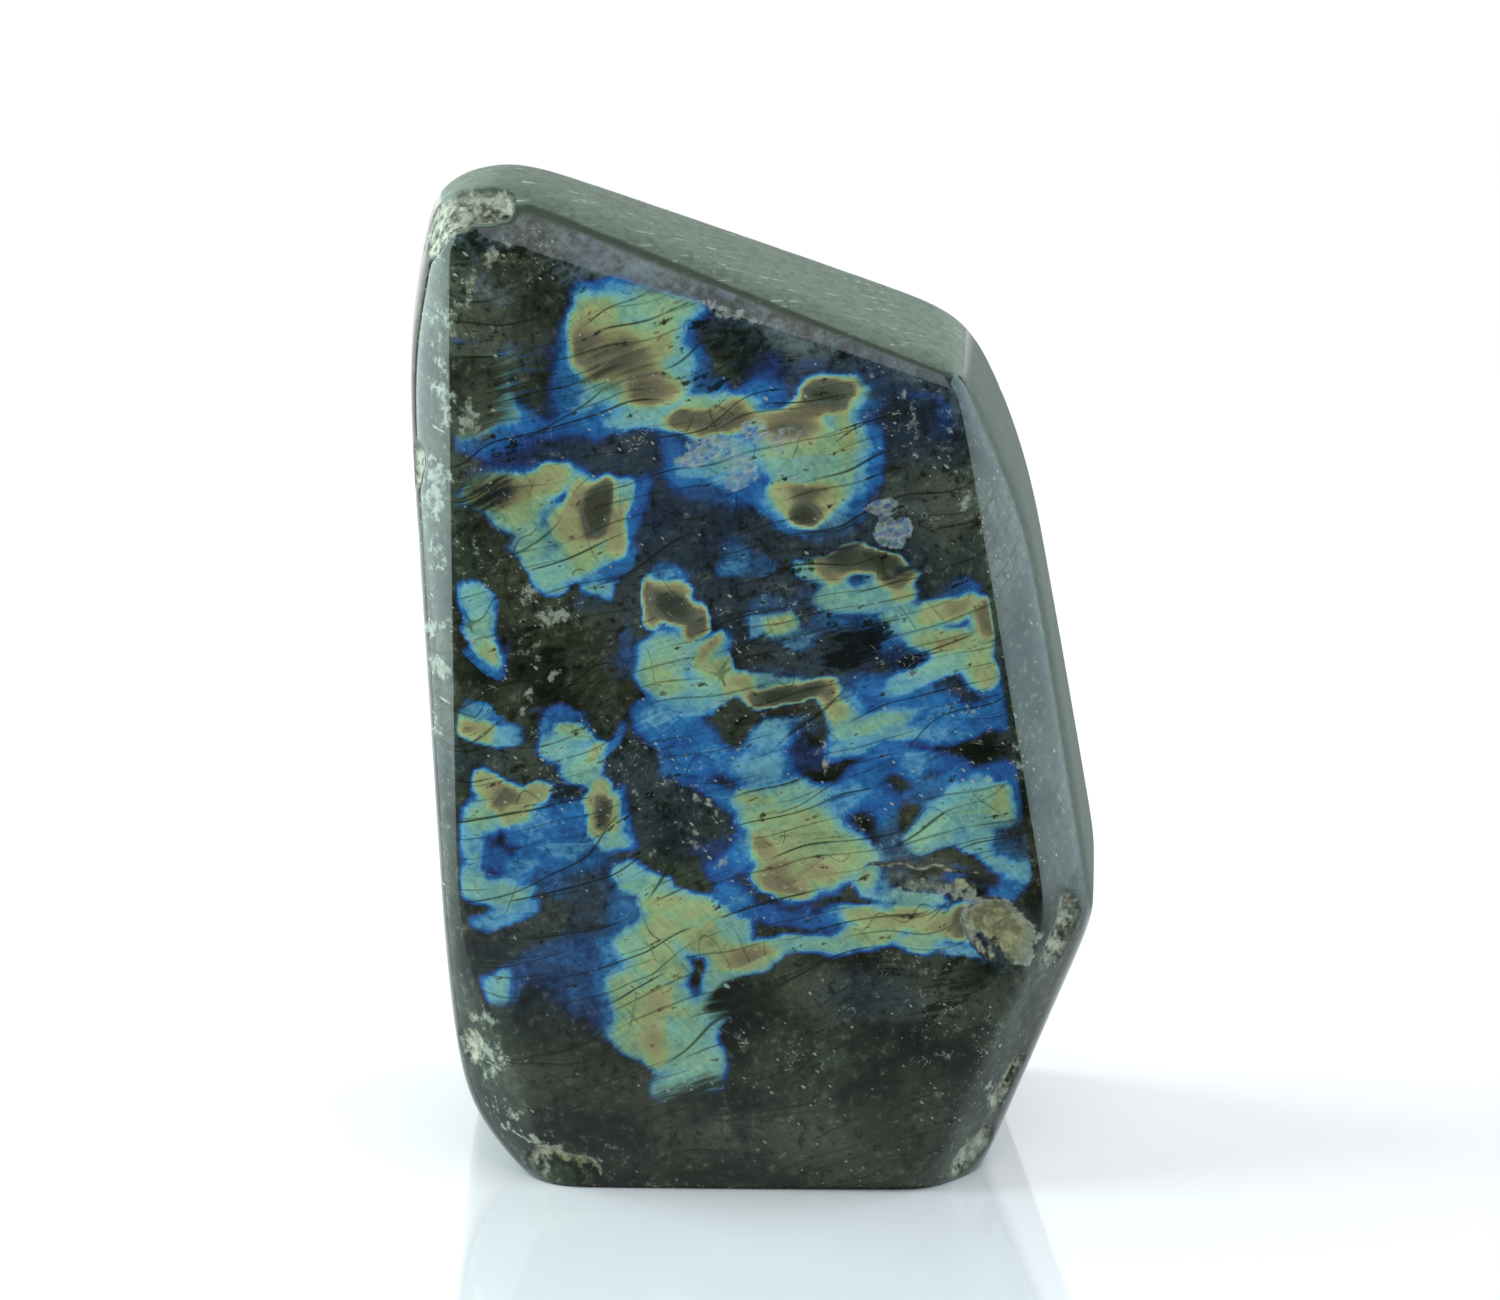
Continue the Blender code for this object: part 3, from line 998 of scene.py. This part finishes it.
def labradorite():
    material = bpy.data.materials.new("polished_labradorite")
    material.use_nodes = True
    tree = material.node_tree
    bench = Bench(tree)
    polished = tree.nodes["Principled BSDF"]

    def mix(share, low, high, way="MIX"):
        """Colours, mixed or blended by a share."""
        settings = {"data_type": "RGBA", "blend_type": way, "clamp_factor": True}
        inputs = {0: share}
        for place, colour in ((6, low), (7, high)):
            inputs[place] = colour if isinstance(colour, Signal) else (*colour, 1.0)
        return bench.node("ShaderNodeMix", settings, inputs, 2)

    def channels(colour):
        split = bench.node("ShaderNodeSeparateColor", {}, {0: colour}).socket.node
        return [Signal(bench, socket) for socket in split.outputs]

    def flat(x, y):
        return bench.node("ShaderNodeCombineXYZ", {}, {0: x, 1: y})

    def flat_noise(x, y, detail=1.0):
        inputs = {"Vector": flat(x, y), "Scale": 1.0, "Detail": detail}
        return bench.node("ShaderNodeTexNoise", {"noise_dimensions": "2D"}, inputs)

    def flat_cells(x, y):
        """Cells one unit across: the distance to a cell's heart, and the three channels of its colour."""
        inputs = {"Vector": flat(x, y), "Scale": 1.0}
        split = bench.node("ShaderNodeTexVoronoi", {"voronoi_dimensions": "2D"}, inputs).socket.node
        return Signal(bench, split.outputs["Distance"]), channels(Signal(bench, split.outputs["Color"]))

    def contour(field, width):
        """Soft lines where a noise field passes its middle value."""
        return bench.smooth(bench.maths("ABSOLUTE", field - 0.5) / width, 0.1, 1.0, 1.0, 0.0)

    def mark(name, output="Fac"):
        return bench.node("ShaderNodeAttribute", {"attribute_name": name}, {}, output)

    # Places in millimetres, also as distances along and across the slabs, which are a little bent. Grit
    # and brush are the grain and the brushing, centred on zero.
    place = bench.scaled(bench.node("ShaderNodeTexCoord", {}, {}, "Object"), 1.0 / MM)
    bend, thick, dusty = channels(mark("drift", "Color"))
    cloud = mark("cloud")
    along = bench.dot(place, ALONG_SLABS)
    across = bench.dot(place, ACROSS_SLABS) + SLAB_BEND * (bend - 0.5)
    right = bench.dot(place, TO_THE_RIGHT)
    up = bench.dot(place, UPWARDS)
    grain = bench.noise(place, GRAIN_SIZE, detail=3.0, roughness=0.65)
    grit = grain - 0.5
    brushing = flat_noise(along / BRUSH_LENGTH, across / BRUSH_WIDTH)
    brush = brushing - 0.5
    streak = flat_noise(along / STREAK_WIDTH, across / STREAK_LENGTH)
    slab_red, slab_green, slab_blue = flat_cells(along / SLAB_LENGTH, across / SLAB_WIDTH)[1]

    # Cleavage cracks: sets of nearly parallel dark lines between the slabs, which lean a little against
    # each other and fade out along their way, and a few smooth cracks that step across them.
    steps = flat_noise((right + 0.35 * up) / STEP_WIDTH, (up - 0.2 * right) / STEP_HEIGHT, detail=0.0)
    steps = contour(steps, STEP_LINE) * bench.smooth(thick + 0.5 * slab_red, 0.74, 0.90)
    crack = STEP_STRENGTH * steps
    sway = flat_noise(along / SWAY_LENGTH, across / SWAY_WIDTH)
    for spacing, lean, shift, strength in CLEAVAGE_SETS:
        level = (across + lean * along) / spacing + 0.9 * sway
        gap = bench.maths("ABSOLUTE", bench.maths("FRACT", level) - 0.5)
        reach = bench.smooth(flat_noise(along / LINE_LENGTH + shift, level / LINE_GROUP), 0.43, 0.60)
        half_width = bench.smooth(reach * thick, 0.0, 0.6, THIN_LINE, THICK_LINE) / spacing
        line = bench.smooth(gap / half_width, 0.2, 1.2, 1.0, 0.0) * reach
        crack = bench.maths("MAXIMUM", crack, strength * line)

    # The flash, a reflection painted into the base colour, shows on the front. The back has a dim painted
    # one of its own, in fewer and larger fields.
    normal = bench.node("ShaderNodeNewGeometry", {}, {}, "Normal")
    front = bench.smooth(bench.dot(normal, FRONT_NORMAL), 0.86, 0.97)
    rear = bench.smooth(bench.dot(normal, BACK_NORMAL), 0.86, 0.97)
    order = mark("flash") * front + bench.smooth(mark("rear"), 0.46, 0.72, 0.0, REAR_ORDER) * rear
    order = order + 0.07 * (slab_red - 0.5) + 0.06 * brush + 0.16 * grit
    stops = [(stop / LAST_ORDER, colour) for stop, colour in FLASH_COLOURS]
    flash = bench.node("ShaderNodeValToRGB", {"stops": stops}, {0: order / LAST_ORDER})

    # The first orders stay dark, further in some places than in others, and then light up at once or
    # slowly. The dim places fade it again.
    dark_to = bench.smooth(thick, 0.46, 0.62, 0.04, 0.24)
    fade_over = bench.smooth(bend, 0.40, 0.60, 0.20, 0.58)
    faded = bench.smooth(mark("dim") + 0.9 * brush + 0.5 * grit, 0.10, 0.90)
    lit = bench.smooth((order - dark_to) / fade_over, 0.0, 1.0)
    lit = lit * bench.maths("MAXIMUM", front, rear) * (1.0 - faded)

    # The body: grey-green feldspar, clouded, with paler and darker grains, and a painted bluish-white sheen
    # on the top bevel.
    body = mix(bench.smooth(cloud, 0.36, 0.64), CLOUD_DARK, CLOUD_PALE)
    body = mix(bench.smooth(thick, 0.50, 0.66) * 0.5, body, SLAB_BROWN)
    body = mix(mark("olive") * bench.smooth(cloud, 0.30, 0.62, 0.35, 0.95), body, OLIVE)
    body = mix(mark("slate") * 0.75, body, mix(cloud, SLATE_DARK, SLATE_PALE))
    body = mix(bench.smooth(grain, 0.54, 0.76) * 0.6, body, GRAIN_PALE)
    body = mix(bench.smooth(grain, 0.46, 0.32) * 0.75, body, GRAIN_DARK)
    bevel = bench.dot(normal, BEVEL_NORMAL)
    bevel_sheen_share = bench.smooth(cloud + 0.2 * brush + 0.7 * grit, 0.30, 0.66)
    bevel_sheen_share = bench.smooth(bevel, 0.86, 0.96) * bevel_sheen_share
    bevel_sheen = mix(bench.smooth(thick, 0.35, 0.65), BEVEL_SHEEN_BLUE, BEVEL_SHEEN_WHITE)
    body = mix(bevel_sheen_share * bench.smooth(right, *BEVEL_SHEEN_THINS, 0.9, 0.4), body, bevel_sheen)

    # Flash and body glow unevenly, slab by slab and grain by grain, and the cracks lie over both.
    colour = mix(lit, body, flash)
    glow = USUAL_GLOW + 0.24 * (slab_blue - 0.5) + 0.3 * (streak - 0.5) + 0.3 * brush
    glow = glow + 1.2 * grit + 0.8 * (cloud - 0.5)
    glow = bench.node("ShaderNodeCombineColor", {}, {0: glow, 1: glow, 2: glow})
    colour = mix(1.0, colour, glow, "MULTIPLY")
    colour = mix(crack * (1.0 - 0.7 * bevel_sheen_share) * 0.88, colour, CRACK_DARK)

    # Flakes: fish scales of thin feldspar, each with a pale rim and a painted sheen, a colour of its own.
    scale_right = (right + 0.4 * up) / SCALE_WIDTH + 1.6 * grain
    scale_up = (up - 0.5 * right) / SCALE_HEIGHT + 1.1 * brushing
    scale_far, scale_hues = flat_cells(scale_right, scale_up)
    hue = scale_hues[0] + 0.6 * grit
    sheen = bench.node("ShaderNodeValToRGB", {"stops": FLAKE_COLOURS}, {0: hue})
    sheen = mix(bench.smooth(scale_far, 0.30, 0.70) * 0.8, sheen, FLAKE_RIM)
    flake = bench.smooth(mark("flake") + 1.1 * grit, 0.36, 0.62) * front
    colour = mix(flake * bench.smooth(scale_hues[1], 0.1, 0.7, 0.35, 0.75), colour, sheen)

    # Black grains, then pale ones, hairlines of healed cracks, and specks, thicker in some places.
    ink = bench.smooth(mark("ink") + 3.0 * grit + 1.6 * brush, 0.35, 0.95) * front
    colour = mix(ink * 0.92, colour, INK)
    pale = mark("pale")
    clots = bench.smooth(pale + 2.6 * grit, 0.50, 1.00)
    colour = mix(clots * 0.7, colour, mix(grain, CLOT_DARK, CLOT_PALE))
    hairs = contour(flat_noise(right / HAIR_WIDTH, up / HAIR_HEIGHT, detail=3.0), HAIR_LINE)
    hairs = hairs * bench.smooth(grain, 0.52, 0.60)
    hairs = hairs * bench.smooth(dusty + 0.45 * pale + 0.3 * slab_green, 0.66, 0.80)
    colour = mix(hairs * 0.7, colour, HAIR_PALE)
    speck_far, speck_picks = flat_cells(along / SPECK_SPACING, across / SPECK_SPACING)
    rare = bench.smooth(dusty, 0.40, 0.64, 0.92, 0.60) - 0.4 * pale
    specks = bench.smooth(speck_far + 0.6 * grit - 0.10 * speck_picks[1], -0.04, 0.05, 1.0, 0.0)
    specks = specks * bench.smooth(speck_picks[0] - rare + 0.8 * (cloud - 0.5), 0.0, 0.10)
    colour = mix(specks * 0.65, colour, SPECK_PALE)

    # Rounded edges that face up or to the right, beside the matte faces, are darkened with painted shade.
    # Chips are pale where the stone is freshly broken, and on the front only where the grains are pale too.
    upward = bench.dot(normal, (0.0, 0.0, 1.0))
    worn_or_edge_shade = bench.smooth(upward, 0.35, 0.6)
    worn_or_edge_shade = bench.maths("MAXIMUM", worn_or_edge_shade, bench.smooth(bench.dot(normal, (1.0, 0.0, 0.0)), 0.70, 0.86))
    colour = mix(worn_or_edge_shade * bench.smooth(mark("edge"), 0.45, 0.95) * 0.6, colour, EDGE_PAINTED_SHADE)
    broken = mark("broken")
    fresh = mix(bench.smooth(grain, 0.34, 0.68), FRESH_DARK, FRESH_PALE)
    fresh = mix(front * 0.8, fresh, mix(1.0, fresh, FRESH_TINT, "MULTIPLY"))
    bare = bench.smooth(pale - 0.5 * front + 1.4 * grit, -0.35, 0.15)
    colour = mix(broken * bare, colour, fresh)

    # The top and the right side are only ground, so they are paler and matte, with pits and scratches, and
    # painted shade darkens the right side.
    # A dark line of painted shade runs along the rounded edge between the top and its bevel.
    top = bench.smooth(upward, 0.60, 0.68)
    side = bench.smooth(bench.dot(normal, SIDE_NORMAL), 0.84, 0.96)
    scratch_along = bench.dot(place, ALONG_SCRATCHES) / SCRATCH_LENGTH
    scratch_across = bench.dot(place, ACROSS_SCRATCHES) / SCRATCH_WIDTH
    scratch = flat_noise(scratch_along, scratch_across, detail=2.0)
    satin = mix(bench.smooth(scratch, 0.35, 0.68), SATIN_DARK, SATIN_PALE)
    satin = mix(bench.smooth(grain, 0.54, 0.36) * 0.4, satin, PIT_DARK)
    scratched = bench.smooth(scratch, 0.67, 0.72) * bench.smooth(grain, 0.48, 0.56)
    satin = mix(scratched * 0.8, satin, SCRATCH_PALE)
    satin = mix(side * 0.76, satin, SIDE_PAINTED_SHADE)
    ground = bench.maths("MAXIMUM", top, side) * (1.0 - broken)
    colour = mix(ground * (1.0 - 0.6 * specks), colour, satin)
    painted_seam_shade = bench.maths("ABSOLUTE", upward - SEAM_FACING) * bench.smooth(thick, 0.36, 0.60, 24.0, 12.0)
    painted_seam_shade = bench.smooth(painted_seam_shade, 0.3, 1.0, 1.0, 0.0) * bench.smooth(bevel, 0.80, 0.90)
    colour = mix(painted_seam_shade * (1.0 - broken) * 0.8, colour, SEAM_PAINTED_SHADE)

    # Clots dull the polish, and chips and ground faces are matte and rough.
    relief = bench.noise(place, ROUGH_GRAIN, detail=1.0)
    strength = 0.03 + 0.9 * broken + 0.2 * ground
    roughness = {"Strength": strength, "Distance": ROUGH_DEPTH, "Height": relief}
    bump = bench.node("ShaderNodeBump", {}, roughness)
    matte = tree.nodes.new("ShaderNodeBsdfPrincipled")
    for shader in (polished, matte):
        shader.inputs["IOR"].default_value = STONE_IOR
        tree.links.new(colour.socket, shader.inputs["Base Color"])
        tree.links.new(bump.socket, shader.inputs["Normal"])
    polished.inputs["Specular IOR Level"].default_value = POLISHED_SPECULAR
    matte.inputs["Roughness"].default_value = MATTE_ROUGHNESS
    matte.inputs["Specular IOR Level"].default_value = MATTE_SPECULAR
    tree.links.new((POLISHED_ROUGHNESS + 0.25 * clots).socket, polished.inputs["Roughness"])
    share = bench.maths("MAXIMUM", ground, 0.9 * broken)
    shaders = {1: Signal(bench, polished.outputs[0]), 2: Signal(bench, matte.outputs[0])}
    both = bench.node("ShaderNodeMixShader", {}, {0: share, **shaders})
    tree.links.new(both.socket, tree.nodes["Material Output"].inputs["Surface"])
    return material


polished_stone = grown(
    "polished_stone",
    polished_skin_tree(),
    solid=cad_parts["labradorite_stone"],
    block_size=BLOCK_SIZE,
    grid_spacing=GRID_SPACING,
    heart=HEART,
    edge_crispness=EDGE_CRISPNESS,
    chip_relief=CHIP_RELIEF,
    finish=labradorite(),
)
lay_marks(polished_stone.data)
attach(polished_stone, "root")
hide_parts("labradorite_stone")


# The table and the studio. The stone stands on a glossy white sheet in front of a lit white wall, with a
# soft box on each side and one overhead, and the room behind the camera is dark.
FLOOR_HALF = 1.5
FLOOR_COLOUR = (0.82, 0.775, 0.785)
FLOOR_ROUGHNESS = 0.6
GLAZE_ROUGHNESS = 0.06


def white_sheet():
    material = bpy.data.materials.new("white_acrylic_sheet")
    material.use_nodes = True
    surface = material.node_tree.nodes["Principled BSDF"]
    surface.inputs["Base Color"].default_value = (*FLOOR_COLOUR, 1.0)
    surface.inputs["Roughness"].default_value = FLOOR_ROUGHNESS
    surface.inputs["Specular IOR Level"].default_value = 0.0
    surface.inputs["Coat Weight"].default_value = 1.0
    surface.inputs["Coat Roughness"].default_value = GLAZE_ROUGHNESS
    mesh = bpy.data.meshes.new("white_sheet")
    corners = [(x * FLOOR_HALF, y * FLOOR_HALF, 0.0) for x, y in ((-1, -1), (1, -1), (1, 1), (-1, 1))]
    mesh.from_pydata(corners, [], [(0, 1, 2, 3)])
    mesh.materials.append(material)
    sheet = bpy.data.objects.new("white_sheet", mesh)
    bpy.context.scene.collection.objects.link(sheet)
    return sheet


def soft_box(name, centre, aim, width, height, brightness, colour=(1.0, 1.0, 1.0)):
    """A rectangular light that looks this bright where it is mirrored."""
    light = bpy.data.lights.new(name, "AREA")
    light.shape = "RECTANGLE"
    light.size = width
    light.size_y = height
    light.energy = brightness * math.pi * width * height
    light.color = colour
    lamp = bpy.data.objects.new(name, light)
    lamp.location = centre
    lamp.rotation_euler = (Vector(aim) - Vector(centre)).to_track_quat("-Z", "Y").to_euler()
    bpy.context.scene.collection.objects.link(lamp)


white_sheet()
soft_box("left_box", (-0.36, 0.02, 0.22), (0.0, 0.02, 0.20), 0.42, 0.44, 6.2, (0.78, 1.0, 1.02))
soft_box("right_box", (0.46, 0.06, 0.25), (0.0, 0.06, 0.22), 0.50, 0.50, 3.7, (0.72, 0.95, 1.05))
soft_box("overhead_box", (0.18, -0.40, 0.72), (0.0, 0.0, 0.06), 0.66, 0.52, 2.4, (0.96, 1.0, 1.02))
soft_box("back_wall", (0.0, 1.35, 0.50), (0.0, 0.0, 0.40), 2.8, 1.1, 1.7)

# The room is white where the camera looks straight at it, and lights the stone only a little.
ROOM_COLOUR = (0.95, 0.98, 1.0)
ROOM_LIGHT = 0.07
ROOM_SEEN = 0.98

world = bpy.data.worlds.new("studio_room")
world.use_nodes = True
room = Bench(world.node_tree)
camera_ray = room.node("ShaderNodeLightPath", {}, {}, "Is Camera Ray")
seen = world.node_tree.nodes["Background"]
world.node_tree.links.new((ROOM_LIGHT + camera_ray * ROOM_SEEN).socket, seen.inputs["Strength"])
seen.inputs["Color"].default_value = (*ROOM_COLOUR, 1.0)
bpy.context.scene.world = world

# The camera stands a little above the stone, far enough back for the long lens of a product portrait.
CAMERA_AIM = Vector((-0.85, -0.85, 56.4)) * MM
CAMERA_DISTANCE = 0.75
CAMERA_RISE = math.radians(13.5)
LENS_LENGTH = 160.0
SENSOR_WIDTH = 36.0

lens = bpy.data.cameras.new("portrait_lens")
lens.lens = LENS_LENGTH
lens.sensor_width = SENSOR_WIDTH
camera = bpy.data.objects.new("portrait_camera", lens)
back_and_up = Vector((0.0, -math.cos(CAMERA_RISE), math.sin(CAMERA_RISE)))
camera.location = CAMERA_AIM + CAMERA_DISTANCE * back_and_up
camera.rotation_euler = (math.pi / 2 - CAMERA_RISE, 0.0, 0.0)
bpy.context.scene.collection.objects.link(camera)
bpy.context.scene.camera = camera
bpy.context.scene.view_settings.view_transform = "Standard"
